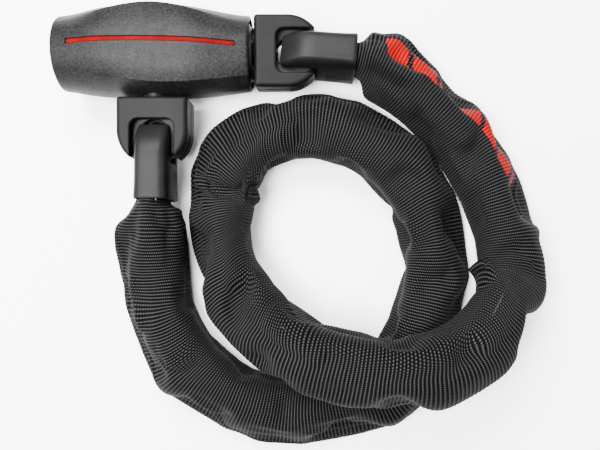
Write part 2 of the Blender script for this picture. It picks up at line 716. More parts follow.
def moulded_plastic(name, dark, light, rough, grain_mm=0.35, speck=0.5, bump=0.35, spec=0.25):
    """Spark-eroded black plastic: fine grain in the relief and pale specks in the colour."""
    n = Nodes(name)
    fine = n.noise(1000.0 / grain_mm * 0.55, 2.0, 0.6)
    mid = n.noise(1000.0 / grain_mm * 0.16, 3.0, 0.55)
    cloud = n.noise(55.0, 3.0, 0.5)
    col = n.ramp(n.math('ADD', n.math('MULTIPLY', fine, speck), n.math('MULTIPLY', cloud, 1 - speck)), [(0.36, dark), (0.66, light)])
    geo = n.t.nodes.new('ShaderNodeNewGeometry')
    edge = n.math('MULTIPLY', n.math('SUBTRACT', geo.outputs['Pointiness'], 0.52, clamp=True), 5.0, clamp=True)
    col = n.mix(n.math('MULTIPLY', edge, 0.35), col, tuple(min(1.0, c * 2.2) for c in light))
    b = n.bump(n.math('ADD', fine, n.math('MULTIPLY', mid, 0.7)), bump, 0.00012)
    r = n.math('ADD', rough - 0.06, n.math('MULTIPLY', mid, 0.14))
    n.bsdf.inputs['Specular IOR Level'].default_value = spec
    return n.set(Base_Color=col, Roughness=r, Normal=b)


def steel(name, colour, rough, brushed=0.15):
    n = Nodes(name)
    a = n.noise(900.0, 4.0, 0.6)
    g = n.noise(70.0, 3.0, 0.5)
    col = n.ramp(g, [(0.3, tuple(c * 0.78 for c in colour)), (0.7, colour)])
    return n.set(Base_Color=col, Metallic=1.0, Roughness=n.math('ADD', rough, n.math('MULTIPLY', a, brushed)), Normal=n.bump(a, 0.12, 0.0001))


M_CASE = moulded_plastic("case_plastic_look", (0.0006, 0.0006, 0.0007), (0.0088, 0.0088, 0.0091), 0.47, 0.62, 0.7, 0.9, 0.095)
M_CAP = moulded_plastic("cap_plastic_look", (0.0015, 0.0015, 0.0016), (0.0040, 0.0040, 0.0042), 0.44, 0.3, 0.4, 0.25, 0.14)
M_EYE = moulded_plastic("eye_cover_look", (0.0014, 0.0014, 0.0015), (0.0036, 0.0036, 0.0038), 0.47, 0.22, 0.35, 0.16, 0.062)
M_BOOT = moulded_plastic("boot_rubber_look", (0.0022, 0.0022, 0.0023), (0.0054, 0.0054, 0.0056), 0.45, 0.2, 0.25, 0.10, 0.08)
M_LINK = steel("hardened_chain_look", (0.045, 0.045, 0.048), 0.38)
M_COATED = steel("black_coated_steel_look", (0.012, 0.012, 0.0125), 0.42)
M_PLATE = steel("zinc_plate_look", (0.58, 0.58, 0.60), 0.22)
M_BRASS = steel("turned_brass_look", (0.70, 0.50, 0.22), 0.25)
M_BRONZE = steel("bronze_bush_look", (0.50, 0.32, 0.16), 0.35)


def red_gloss():
    n = Nodes("red_inlay_look")
    a = n.noise(2600.0, 2.0, 0.5)
    c = n.noise(120.0, 2.0, 0.5)
    col = n.ramp(n.math('ADD', n.math('MULTIPLY', a, 0.4), n.math('MULTIPLY', c, 0.6)), [(0.35, (0.050, 0.0003, 0.0004)), (0.65, (0.085, 0.0006, 0.0008))])
    n.bsdf.inputs['Specular IOR Level'].default_value = 0.015
    return n.set(Base_Color=col, Roughness=n.math('ADD', 0.40, n.math('MULTIPLY', a, 0.12)), Normal=n.bump(a, 0.08, 0.0001))


M_RED = red_gloss()


def finish_piece(ob, mat, body, replaces=(), shade=True, angle=None):
    ob.data.materials.clear()
    ob.data.materials.append(mat)
    if shade:
        ob.data.polygons.foreach_set("use_smooth", np.ones(len(ob.data.polygons), bool))
        if angle is not None:
            ob.data.set_sharp_from_angle(angle=math.radians(angle))
    ob.data.update()
    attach(ob, body)
    if replaces:
        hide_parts(*replaces)
    return ob


def outward(ob):
    bm = bmesh.new()
    bm.from_mesh(ob.data)
    bmesh.ops.recalc_face_normals(bm, faces=bm.faces)
    bm.to_mesh(ob.data)
    bm.free()
    return ob


def skin(name, rings, close_u=False, caps=True):
    """Quad skin over rings (n, m, 3) in mm, returned as an object in metres."""
    rings = np.asarray(rings, float)
    n, m = rings.shape[:2]
    f = grid_faces(n, m).tolist()
    if close_u:
        f += [[(n - 1) * m + j, j, (j + 1) % m, (n - 1) * m + (j + 1) % m] for j in range(m)]
    bm = bmesh.new()
    vs = [bm.verts.new(p) for p in (rings.reshape(-1, 3) * MM)]
    for a in f:
        bm.faces.new([vs[i] for i in a])
    if caps and not close_u:
        bm.faces.new(vs[:m][::-1])
        bm.faces.new(vs[-m:])
    bmesh.ops.recalc_face_normals(bm, faces=bm.faces)
    me = bpy.data.meshes.new(name)
    bm.to_mesh(me)
    bm.free()
    ob = bpy.data.objects.new(name, me)
    bpy.context.scene.collection.objects.link(ob)
    return ob


def apply_mods(ob):
    dg = bpy.context.evaluated_depsgraph_get()
    me = bpy.data.meshes.new_from_object(ob.evaluated_get(dg), depsgraph=dg)
    old = ob.data
    ob.modifiers.clear()
    ob.data = me
    bpy.data.meshes.remove(old)
    return ob


def boolean_apply(ob, cutters, op='DIFFERENCE'):
    for c in cutters:
        m = ob.modifiers.new("b", 'BOOLEAN')
        m.operation = op
        m.object = c
        m.solver = 'EXACT'
    bpy.context.view_layer.update()
    apply_mods(ob)
    for c in cutters:
        me = c.data
        bpy.data.objects.remove(c, do_unlink=True)
        bpy.data.meshes.remove(me)
    return ob


def soften(ob, voxel_mm, passes, factor=0.5):
    """Remesh to an even skin and relax it, which gives moulded edges their radius."""
    r = ob.modifiers.new("r", 'REMESH')
    r.mode = 'VOXEL'
    r.voxel_size = voxel_mm * MM
    s = ob.modifiers.new("s", 'SMOOTH')
    s.iterations = passes
    s.factor = factor
    bpy.context.view_layer.update()
    return apply_mods(ob)


def prism_ob(name, outline, z0, z1):
    return skin(name, [[(x, y, z) for x, y in outline] for z in (z0, z1)])


def arc_pts(cx, cy, r, a0, a1, n):
    return [(cx + r * math.cos(math.radians(a0 + (a1 - a0) * i / n)), cy + r * math.sin(math.radians(a0 + (a1 - a0) * i / n))) for i in range(n + 1)]


def place_mesh(ob, m):
    ob.data.transform(m)
    ob.data.update()
    return ob


def eye_frame(centre, heading, roll):
    return Matrix.Translation(Vector(centre) * MM) @ Matrix.Rotation(math.radians(roll), 4, 'X') @ Matrix.Rotation(heading, 4, 'Z')


LEFT_M = eye_frame(EYE_L_POS, -math.pi / 2, 0)
RIGHT_EYE_M = eye_frame(EYE_R_POS, 0, SWIVEL_TILT)
RIGHT_BOOT_M = eye_frame(EYE_R_POS, RIGHT_DIR, BOOT_TILT)


# ---------------------------------------------------------------- barrel
END_FACE_R = 46.0
FACE_L = -48.0
LIP = 1.1


def ends_ease(x, swell=0.5):
    """0 at the end faces, 1 over the middle; swell sets how much of an S the flank draws."""
    f = min(max((x - FACE_L) / (-22.0 - FACE_L), 0), 1) if x < -5 else min(max((END_FACE_R + 1.0 - x) / 34.0, 0), 1)
    return swell * (0.5 - 0.5 * math.cos(f * math.pi)) + (1 - swell) * math.sin(f * math.pi / 2)


def stripe_y(x):
    return 0.3 + 1.2 * (1 - (x / 40.0) ** 2) - 0.012 * x


def crease_top(x):
    return 11.6 + 8.6 * math.cos(min(max(math.pi * (x + 1.4) / 100.0, -math.pi / 2), math.pi / 2)) ** 2


def crease_low(x):
    k = 110.0 if x < 6 else 135.0
    return 11.6 + 6.1 * math.cos(min(max(math.pi * (x - 6.0) / k, -math.pi / 2), math.pi / 2)) ** 2


def barrel_half_section(x, inset=0.0, groove=True):
    """Upper half of the barrel section from +Y to -Y: side curve, crease, crown with the stripe groove, crease, side curve."""
    # rounded lips at both faces
    lip = 0.0
    for face, sgn in ((FACE_L, 1), (END_FACE_R, -1)):
        d = (x - face) * sgn
        if d < LIP:
            lip = max(lip, LIP - math.sqrt(max(0.0, LIP ** 2 - (LIP - d) ** 2)))
    hz = 17.0 + (MID_HALF_Z - 17.0) * ends_ease(x) - inset - lip

    def flank(swell, hy1, crease):
        f = ends_ease(x, swell)
        hy = 18.2 + (hy1 - 18.2) * f - inset - lip
        yc = crease - inset * 0.8 - lip * 0.7
        zc = 13.1 + (16.3 - 13.1) * f - inset * 0.8 - lip * 0.7
        return hy, yc, zc
    hy, yc, zc = flank(0.85, 22.0, crease_top(x))
    hy2, yc2, zc2 = flank(0.25, 21.2, crease_low(x))
    pts = []
    for k in range(14):
        t = k / 14
        y = (1 - t) ** 2 * hy + 2 * (1 - t) * t * hy + t ** 2 * yc
        z = 2 * (1 - t) * t * 0.52 * zc + t ** 2 * zc
        pts.append((y, z))
    ys = stripe_y(x)
    cols = [yc + (ys + 1.5 - yc) * k / 9 for k in range(9)]
    steps = ((1.5, 0), (1.27, 0.0), (1.16, 0.55), (1.1, 0.95), (0.0, 0.95), (-1.1, 0.95), (-1.16, 0.55), (-1.27, 0.0), (-1.5, 0))
    run = min(max((x + 40.0) / 0.4, 0), 1) * min(max((40.0 - x) / 0.4, 0), 1)
    if inset or not groove:
        run = 0
    for dy, dep in steps:
        cols.append((ys + dy, dep * run))
    cols += [(ys - 1.5) + (-yc2 - (ys - 1.5)) * k / 12 for k in range(1, 13)]
    for c in cols:
        y, dep = c if isinstance(c, tuple) else (c, 0.0)
        u, z0 = (y / yc, zc) if y > 0 else (-y / yc2, zc2)
        crown = z0 + (hz - z0) * (1 - abs(u) ** 2.1)
        pts.append((y, crown - dep))
    for k in range(1, 15):
        t = 1 - k / 14
        y = (1 - t) ** 2 * hy2 + 2 * (1 - t) * t * hy2 + t ** 2 * yc2
        z = 2 * (1 - t) * t * 0.52 * zc2 + t ** 2 * zc2
        pts.append((-y, z))
    return pts


def x_stations():
    xs = list(FACE_L + LIP * (1 - np.cos(np.linspace(0, math.pi / 2, 7))))
    xs += list(np.linspace(FACE_L + 2.0, -40.4, 5)) + [-40.0, -39.8, -39.6, -39.3]
    xs += list(np.linspace(-38.8, 38.8, 64)) + [39.3, 39.6, 39.8, 40.0]
    xs += list(np.linspace(40.4, END_FACE_R - 2.0, 4))
    e = END_FACE_R
    xs += list(e - LIP * (1 - np.cos(np.linspace(math.pi / 2, 0, 7))))
    return xs


def half_shell(name, upper):
    xs = x_stations()
    rings = []
    for x in xs:
        out = barrel_half_section(x, 0.0, upper)
        inn = barrel_half_section(min(max(x, FACE_L + 1.2), END_FACE_R - 1.2), 1.7)[::-1]
        sgn = 1 if upper else -1
        ring = []
        for pts, shift in ((out, 0), (inn, 1)):
            for k, (y, z) in enumerate(pts):
                zz = AXIS_Z + sgn * max(z, 0.14)
                if not upper:
                    zz = max(zz, 1.4 if shift else 0.0)
                ring.append((x, y, zz))
        rings.append(ring)
    return skin(name, rings)


def cyl_ob(name, axis, centre, d0, d1, r, seg=48, r1=None):
    c = np.array(centre, float)
    w = {'X': (1, 0, 0), 'Y': (0, 1, 0), 'Z': (0, 0, 1)}[axis]
    u = {'X': (0, 1, 0), 'Y': (0, 0, 1), 'Z': (1, 0, 0)}[axis]
    v = {'X': (0, 0, 1), 'Y': (1, 0, 0), 'Z': (0, 1, 0)}[axis]
    w, u, v = np.array(w, float), np.array(u, float), np.array(v, float)
    a = 2 * np.pi * (np.arange(seg) + 0.5) / seg
    rings = [c + w * d + rr * (np.cos(a)[:, None] * u + np.sin(a)[:, None] * v) for d, rr in ((d0, r), (d1, r if r1 is None else r1))]
    return skin(name, rings)


def lathe_ob(name, axis, centre, profile, seg=64, closed=False):
    """Profile of (distance, radius) pairs turned about an axis; closed profiles make a ring."""
    c = np.array(centre, float)
    w = np.array({'X': (1, 0, 0), 'Y': (0, 1, 0), 'Z': (0, 0, 1)}[axis], float)
    u = np.array({'X': (0, 1, 0), 'Y': (0, 0, 1), 'Z': (1, 0, 0)}[axis], float)
    v = np.array({'X': (0, 0, 1), 'Y': (1, 0, 0), 'Z': (0, 1, 0)}[axis], float)
    a = 2 * np.pi * (np.arange(seg) + 0.5) / seg
    rings = [c + w * d + r * (np.cos(a)[:, None] * u + np.sin(a)[:, None] * v) for d, r in profile]
    return skin(name, rings, close_u=closed)


def build_barrel():
    up = half_shell("barrel_front_shell", True)
    boolean_apply(up, [cyl_ob("c1", 'Y', (BOLT_X, 0, AXIS_Z), -30, -12, BOLT_R + 0.6)])
    finish_piece(up, M_CASE, "lock_case", ("case_front_shell",), angle=24)
    lo = half_shell("barrel_back_shell", False)
    cuts = [cyl_ob("c1", 'Y', (BOLT_X, 0, AXIS_Z), -30, -12, BOLT_R + 0.6)] + [cyl_ob("c_s%d" % i, 'Z', (sx, 0, 0), -2, 3.4, 3.5, 32) for i, sx in enumerate((-27.0, 24.0))]
    boolean_apply(lo, cuts)
    finish_piece(lo, M_CASE, "lock_case", ("case_back_shell",), angle=24)
    # red strip lying in its groove, rounded at both ends
    rings = []
    for x in np.r_[np.linspace(-39.5, -38.7, 6), np.linspace(-38.4, 38.4, 60), np.linspace(38.7, 39.5, 6)]:
        half = 0.98 * math.sqrt(max(0.04, 1 - max(0, (abs(x) - 38.7) / 0.82) ** 2))
        ys = stripe_y(x)
        hz = 17.0 + (MID_HALF_Z - 17.0) * ends_ease(x)
        f, f2 = ends_ease(x, 0.85), ends_ease(x, 0.25)

        def top(y):
            g, yc = (f, crease_top(x)) if y > 0 else (f2, crease_low(x))
            zc = 13.1 + (16.3 - 13.1) * g
            return AXIS_Z + zc + (hz - zc) * (1 - abs(y / yc) ** 2.1)
        prof = [(-half, -0.93), (half, -0.93), (half, -0.42), (half * 0.86, -0.3), (half * 0.4, -0.25), (-half * 0.4, -0.25), (-half * 0.86, -0.3), (-half, -0.42)]
        rings.append([(x, ys + dy, top(ys + dy) + dz) for dy, dz in prof])
    finish_piece(skin("red_stripe", rings), M_RED, "lock_case", ("red_inlay_strip",), angle=40)
    # end faces
    col = lathe_ob("swivel_collar", 'X', (0, 0, AXIS_Z), [(41.0, 15.0), (44.9, 15.05), (45.3, 14.6), (45.4, 13.2), (46.9, 12.9), (47.25, 12.5), (47.3, 11.6), (47.0, 11.2), (46.6, 9.6), (46.9, 8.6), (46.7, 7.7), (41.0, 7.6)], 72, closed=True)
    finish_piece(col, M_CAP, "lock_case", ("right_end_collar",), angle=30)


# ---------------------------------------------------------------- eye covers
def build_cover(name, node, m, upper, body, scallops):
    sgn = 1 if upper else -1
    x0 = -COVER_LEN / 2
    w = COVER_HALF_W
    out = [(x0, -w + 1.0), (x0 + 1.0, -w)] + arc_pts(-0.5, 0, w, -90, 90, 48) + [(x0 + 1.0, w), (x0, w - 1.0)]
    h = COVER_T / 2
    ins = lambda k: [(x0 + min(max(x - x0, k), 60) if x < x0 + 3 else (x - k * max(0, (x + 0.5)) / w), y * (w - k) / w) for x, y in out]
    if upper:
        rings = [(ins(0.0), 0.12), (ins(0.0), h - 1.5), (ins(0.5), h - 0.55), (ins(1.6), h)]
    else:
        rings = [(ins(0.0), 0.12), (ins(0.0), h - 2.4), (ins(0.9), h - 0.9), (ins(2.2), h)]
    ob = skin(name, [[(x, y, sgn * z) for x, y in o] for o, z in rings])
    u = [(22, -SLOT_HALF), (22, SLOT_HALF)] + arc_pts(-2.0, SLOT_HALF - 4.0, 4.0, 90, 180, 8) + arc_pts(-2.0, -SLOT_HALF + 4.0, 4.0, 180, 270, 8)
    cuts = [prism_ob("c_slot", u, -20, 20),
            cyl_ob("c_disc", 'Z', (0, 0, 0), -5.0, 5.0, EYE_R + 0.5, 64),
            cyl_ob("c_neck", 'X', (0, 0, 0), -30, -2, 6.2, 40)]
    boolean_apply(ob, cuts)
    soften(ob, 0.42, 5)
    if scallops:
        # a row of small pips along the lower rim of the cover
        pips = []
        for a in np.arange(-84, 85, 4.2):
            if abs(a) < 43:
                continue
            px, py = -0.5 + (w + 0.02) * math.cos(math.radians(a)), (w + 0.02) * math.sin(math.radians(a))
            pips.append((px, py))
        ob_p = pip_row(name + "_pips", pips, -4.6 if not upper else 1.6)
        place_mesh(ob_p, m)
        finish_piece(ob_p, M_EYE, body)
    place_mesh(ob, m)
    finish_piece(ob, M_EYE, body, (node,))
    return ob


def pip_row(name, pts, z):
    bm = bmesh.new()
    for x, y in pts:
        v = bmesh.ops.create_uvsphere(bm, u_segments=10, v_segments=6, radius=0.42 * MM)["verts"]
        bmesh.ops.translate(bm, verts=v, vec=Vector((x, y, z)) * MM)
    me = bpy.data.meshes.new(name)
    bm.to_mesh(me)
    bm.free()
    ob = bpy.data.objects.new(name, me)
    bpy.context.scene.collection.objects.link(ob)
    return ob


# ---------------------------------------------------------------- link boots
def build_boot(name, m, nodes, body, flip):
    """Arched rubber boot: dips into the eye cover, runs level over the link and flares slightly at its mouth."""
    xs = np.r_[-3.6, -3.2, -2.4, -1.2, 0.4, 2.4, 5, 8, 11, 14, 18, 22, 26, 29, 31.4, 32.6, 33.15]
    w0 = BOOT_W / 2 + 0.85
    out = []
    seg = 56
    ang = 2 * np.pi * np.arange(seg) / seg

    def sect(x, hw, top, e=5.0):
        c, s = np.cos(ang), np.sin(ang)
        y = np.sign(c) * np.abs(c) ** (2 / e) * hw
        z = np.sign(s) * np.abs(s) ** (2 / e) * top
        return np.stack([np.full(seg, x), y, z], axis=1)
    for x in xs:
        t = min(max((x + 3.6) / 15.0, 0), 1)
        top = 6.2 + (BOOT_H / 2 - 6.2) * math.sin(t * math.pi / 2) ** 0.75
        hw = w0 * (0.90 + 0.10 * min(max((x + 3.6) / 6.0, 0), 1) ** 0.5) + 0.55 * max(0, (x - 20) / 13.0) ** 2
        if x > 32:
            r = (x - 32) / 1.15
            k = 0.45 * (1 - math.sqrt(max(0, 1 - min(r, 1) ** 2)))
            hw -= k
            top -= k
        out.append(sect(x, hw, top + 0.25 * max(0, (x - 22) / 11.0) ** 2))
    for x, d in ((33.2, 0.75), (33.0, 1.15), (30.0, 1.35), (25.0, 1.6)):
        out.append(sect(x, w0 + 0.45 - d, BOOT_H / 2 + 0.2 - d))
    ob = skin(name, out)
    boolean_apply(ob, [skin("c_eye", [[(-12, -20, z), (15.0, -20, z), (15.0, 20, z), (-12, 20, z)] for z in (-5.6, 5.6)])])
    place_mesh(ob, m)
    finish_piece(ob, M_BOOT, body, nodes, angle=38)
    # fine raised lines moulded on the side walls
    bars = []
    for side in (-1, 1):
        for k, (z, x0, x1) in enumerate(((-2.2, 19.0, 30.0), (-4.4, 17.5, 28.0), (-6.4, 19.5, 30.5), (-8.6, 18.0, 27.0))):
            n = 7
            for i in range(n):
                a = x0 + (x1 - x0) * i / n
                b = a + (x1 - x0) / n * (0.45 if (i + k) % 2 else 0.7)
                bars.append((a, b, side, z))
    bm = bmesh.new()
    for a, b, side, z in bars:
        y = side * (w0 + 0.55 * max(0, ((a + b) / 2 - 20) / 13.0) ** 2 + 0.0)
        v = bmesh.ops.create_cube(bm, size=1.0)["verts"]
        bmesh.ops.scale(bm, verts=v, vec=Vector((b - a, 0.5, 0.4)) * MM)
        bmesh.ops.translate(bm, verts=v, vec=Vector(((a + b) / 2, y - side * 0.12, z)) * MM)
    bmesh.ops.bevel(bm, geom=list(bm.edges), offset=0.1 * MM, segments=1, affect='EDGES')
    me = bpy.data.meshes.new(name + "_side_lines")
    bm.to_mesh(me)
    bm.free()
    lines = bpy.data.objects.new(name + "_side_lines", me)
    bpy.context.scene.collection.objects.link(lines)
    place_mesh(lines, m)
    finish_piece(lines, M_BOOT, body, shade=False)
    return ob


RIB_PITCH = 1.62
RIB_HIGH = 0.26
RINGS, SEGS = 2760, 72


def sleeve_material():
    n = Nodes("ribbed_fabric_look")
    uv = n.t.nodes.new('ShaderNodeUVMap')
    uv.uv_map = "weave"
    sep = n.t.nodes.new('ShaderNodeSeparateXYZ')
    n.t.links.new(uv.outputs['UV'], sep.inputs[0])
    s, a = sep.outputs[0], sep.outputs[1]          # metres along the tube x 10, turns round it
    rib = n.math('MULTIPLY', s, 100.0 / RIB_PITCH * 2 * math.pi)      # one rib per 2 pi
    crest = n.math('MULTIPLY_ADD', n.math('COSINE', rib), 0.5, 0.5)
    row = n.math('FLOOR', n.math('ADD', n.math('DIVIDE', rib, 2 * math.pi), 0.5))
    turns = n.math('MULTIPLY', a, 118.0)
    thread = n.math('MULTIPLY_ADD', n.math('COSINE', n.math('MULTIPLY', n.math('ADD', turns, n.math('MULTIPLY', row, 0.5)), 2 * math.pi)), 0.5, 0.5)
    obj = n.coord()
    fuzz = n.noise(2300.0, 3.0, 0.65, obj)
    lint = n.noise(620.0, 4.0, 0.7, obj)
    wear = n.noise(26.0, 4.0, 0.55, obj)
    lit = n.math('MULTIPLY', crest, n.math('MULTIPLY_ADD', thread, 0.55, 0.45))
    tone = n.math('ADD', n.math('MULTIPLY', lit, 0.80), n.math('ADD', n.math('MULTIPLY', fuzz, 0.26), n.math('MULTIPLY', wear, 0.12)))
    col = n.ramp(tone, [(0.22, (0.0001, 0.0001, 0.0001)), (0.58, (0.0011, 0.0011, 0.0012)), (0.95, (0.027, 0.027, 0.028))])
    # stray pale fibre ends
    col = n.mix(n.math('MULTIPLY', n.math('SUBTRACT', lint, 0.66, clamp=True), 3.0, clamp=True), col, (0.022, 0.022, 0.023))
    # printed red marks: a row of slanted bars on the outer side of the first run
    red_w = n.t.nodes.new('ShaderNodeAttribute')
    red_w.attribute_name = "print"
    worn = n.math('GREATER_THAN', n.math('ADD', red_w.outputs['Fac'], n.math('MULTIPLY', n.math('SUBTRACT', lint, 0.5), 0.5)), 0.5)
    ink = n.ramp(tone, [(0.2, (0.07, 0.0002, 0.0004)), (0.7, (0.20, 0.0005, 0.0010))])
    col = n.mix(worn, col, ink)
    h = n.math('ADD', n.math('MULTIPLY', lit, 1.0), n.math('MULTIPLY', fuzz, 0.45))
    b = n.bump(h, 0.55, 0.00022)
    n.set(Base_Color=col, Roughness=n.math('MULTIPLY_ADD', fuzz, 0.12, 0.72), Normal=b)
    n.bsdf.inputs['Sheen Weight'].default_value = 0.01
    n.bsdf.inputs['Sheen Roughness'].default_value = 0.45
    n.bsdf.inputs['Specular IOR Level'].default_value = 0.03
    return n.m


def print_mask(s_mm, ang):
    """Plain slanted blocks in a row along the sleeve, 1 inside a block; s_mm runs along the tube, ang round it."""
    u = (s_mm - PRINT_S0) / (PRINT_S1 - PRINT_S0)
    lane = (ang - PRINT_A) * 17.5                # mm across the band
    cell = u * PRINT_N + 0.035 * lane            # slant
    k = np.floor(cell)
    f = cell - k
    wide = 0.40 + 0.04 * np.sin(k * 2.4)
    tall = 4.6 + 1.0 * np.sin(k * 1.7 + 0.6)
    return (((u > 0) & (u < 1)) & (np.abs(f - 0.5) < wide) & (np.abs(lane) < tall)).astype(float)


def room_for_cover(p, d):
    """The next turn of the sleeve gives way where the left eye cover comes down beside it as the bolt is drawn."""
    pull = [j for j in frame["joints"] if j["name"] == "bolt_pull"][0]["range_m"][1] / MM
    cx, cy, reach = BOLT_X, EYE_L_Y - pull + 0.5, COVER_HALF_W + 2.0
    x, y, z = p[..., 0] - cx, p[..., 1] - cy, p[..., 2] - AXIS_Z
    up = np.clip(y, 0, 14.0)
    r = np.hypot(x, y - up)
    soft = np.clip((15.0 - np.abs(z)) / 3.5, 0, 1) * ((d > 270) & (d < 460))[:, None]
    grow = 1 + (np.maximum(1, reach / np.maximum(r, 1e-6)) - 1) * soft
    out = p.copy()
    out[..., 0] = cx + x * grow
    out[..., 1] = cy + up + (y - up) * grow
    return out


def build_sleeve():
    p, d, q = simulate_sleeve()
    p = periodic_smooth(p, 1, 1)
    p = deepen_folds(p, q, 1.5, 1.9)
    p = settle_width(p, d, q)
    p = keep_passes_apart(p, q, d)
    p = clear_of_chain(p, d, 1.0)
    p = periodic_smooth(p, 1, 1)
    p = clear_of_chain(p, d, 1.0)
    p = room_for_cover(p, d)
    p[..., 2] = np.maximum(p[..., 2], 0.7)
    fine = cubic_grid(p, RINGS, SEGS)
    nrm = grid_normals(fine)
    s = arc_length(fine)
    ang = 2 * np.pi * np.arange(SEGS) / SEGS
    dd = np.linspace(0, LENGTH, RINGS)
    end = np.clip(np.minimum(dd, LENGTH - dd) / 3.0, 0, 1)
    wave = np.cos(2 * np.pi * s / RIB_PITCH)
    # ribs run slightly out of true with the cloth
    skew = 0.45 * noise2(dd[:, None], ang[None, :] * 8 / (2 * np.pi), 21, 0.02, 1.0, 8)
    wave = np.cos(2 * np.pi * (s[:, None] + skew) / RIB_PITCH)
    rib = RIB_HIGH * (0.5 + 0.5 * wave) ** 0.8 * end[:, None]
    # sewn seam along the inner side of the coil
    seam_at = math.pi * 0.93
    da = np.abs((ang - seam_at + math.pi) % (2 * math.pi) - math.pi) * 16.0
    seam = np.exp(-(da / 1.0) ** 2) * 0.75 - np.exp(-((da - 2.2) / 0.7) ** 2) * 0.4
    stitch = 0.25 * np.exp(-((da[None, :] - 1.9) / 0.5) ** 2) * (np.cos(2 * np.pi * dd[:, None] / 3.2) > 0.2)
    lift = rib * (1 - 0.6 * np.exp(-(da / 1.4) ** 2))[None, :] + (seam[None, :] + stitch) * end[:, None]
    fine = fine + nrm * lift[..., None]
    fine[..., 2] = np.maximum(fine[..., 2], 0.25)
    mat = sleeve_material()
    # where the sleeve leaves the left boot the cloth slides with the chain end
    k_cut = int(np.argmin(np.where(dd > LENGTH * 0.87, np.abs(fine[..., 1].mean(axis=1) - CUT_Y), 1e9)))
    w = np.clip(1 - np.abs(np.arange(RINGS) - k_cut) * (dd[1] - dd[0]) / 14.0, 0, 1)
    w = (w * w * (3 - 2 * w))[:, None]
    centre_y = fine[..., 1].mean(axis=1)
    centre_y = centre_y - centre_y[k_cut] * w[:, 0] + CUT_Y * w[:, 0]
    fine[..., 1] = fine[..., 1] * (1 - w) + centre_y[:, None] * w
    mask = print_mask(s[:, None] + 0 * ang[None, :], ((ang[None, :] + math.pi) % (2 * math.pi) - math.pi) + 0 * s[:, None])
    s_uv = s + skew.mean(axis=1)
    parts = []
    for name, i0, i1 in (("fabric_sleeve_look", 0, k_cut + 1), ("sleeve_cuff_look", k_cut, RINGS)):
        part = fine[i0:i1]
        n = i1 - i0
        faces = grid_faces(n, SEGS)
        ob = mesh_from(name, part.reshape(-1, 3) * MM, faces)
        me = ob.data
        uvl = me.uv_layers.new(name="weave")
        j = np.arange(SEGS)
        uu = np.empty((n - 1, SEGS, 4, 2))
        sk = (s[:, None] + skew)[i0:i1] / 100.0
        uu[:, :, 0, 0] = sk[:-1]
        uu[:, :, 1, 0] = sk[1:]
        uu[:, :, 2, 0] = np.roll(sk, -1, axis=1)[1:]
        uu[:, :, 3, 0] = np.roll(sk, -1, axis=1)[:-1]
        uu[:, :, 0, 1] = uu[:, :, 1, 1] = (j / SEGS)[None, :]
        uu[:, :, 2, 1] = uu[:, :, 3, 1] = ((j + 1) / SEGS)[None, :]
        uvl.data.foreach_set("uv", uu.reshape(-1).astype(np.float32))
        at = me.attributes.new("print", 'FLOAT', 'POINT')
        at.data.foreach_set("value", mask[i0:i1].reshape(-1).astype(np.float32))
        parts.append(ob)
    main, slack = parts
    finish_piece(main, mat, "lock_case", ("fabric_sleeve",))
    finish_piece(slack, mat, "lock_case", ("sleeve_cuff",))
    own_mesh(slack)
    return main, slack


# ---------------------------------------------------------------- metal parts
def eye_disc_ob(name, cx, cy):
    """Flat forged eye with rounded edges, as a closed ring about its hole."""
    h = EYE_T / 2
    r = EYE_R
    prof = [(-h, EYE_HOLE_R + 1.0)]
    prof += [(-h + 1.6 * (1 - math.cos(a)), r - 1.6 + 1.6 * math.sin(a)) for a in np.linspace(0, math.pi / 2, 6)]
    prof += [(h - 1.6 * (1 - math.cos(a)), r - 1.6 + 1.6 * math.sin(a)) for a in np.linspace(math.pi / 2, 0, 6)]
    prof += [(h, EYE_HOLE_R + 1.0), (h - 0.3, EYE_HOLE_R + 0.3), (h - 1.0, EYE_HOLE_R), (-h + 1.0, EYE_HOLE_R), (-h + 0.3, EYE_HOLE_R + 0.3)]
    return lathe_ob(name, 'Z', (cx, cy, AXIS_Z), prof, 72, closed=True)


def turned_ob(name, axis, centre, profile, seg=56):
    return lathe_ob(name, axis, centre, profile, seg)


def build_metal():
    g = GROOVE_Y
    bolt = turned_ob("eye_bolt_look", 'Y', (BOLT_X, 0, AXIS_Z), [
        (-31.6, 5.2), (-28, 5.2), (-25.4, 5.2), (-24.9, 5.35), (-24.4, 5.9), (-24.0, 6.0), (g - 3.7, 6.0), (g - 3.4, 5.9), (g - 2.5, 4.75), (g - 2.2, 4.6),
        (g + 2.2, 4.6), (g + 2.5, 4.75), (g + 3.4, 5.9), (g + 3.7, 6.0), (-4.2, 6.0), (-3.5, 5.75), (-3.0, 5.0)])
    boolean_apply(bolt, [eye_disc_ob("c_eye", BOLT_X, EYE_L_Y)], 'UNION')
    finish_piece(bolt, M_COATED, "bolt", ("locking_eye_bolt",), angle=35)
    neck = turned_ob("swivel_neck_look", 'X', (0, 0, AXIS_Z), [
        (19.0, 4.6), (19.3, 5.1), (20.0, 5.6), (31.2, 5.6), (31.5, 4.4), (33.9, 4.4), (34.1, 5.6), (48.0, 5.6), (50.5, 5.7), (52.4, 6.0), (56.6, 6.2)])
    eye = eye_disc_ob("c_eye", EYE_R_X, EYE_R_Y)
    t = Matrix.Translation(Vector((0, 0, AXIS_Z * MM))) @ Matrix.Rotation(math.radians(SWIVEL_TILT), 4, 'X') @ Matrix.Translation(Vector((0, 0, -AXIS_Z * MM)))
    place_mesh(eye, t)
    boolean_apply(neck, [eye], 'UNION')
    finish_piece(neck, M_COATED, "swivel", ("swivel_eye",), angle=35)


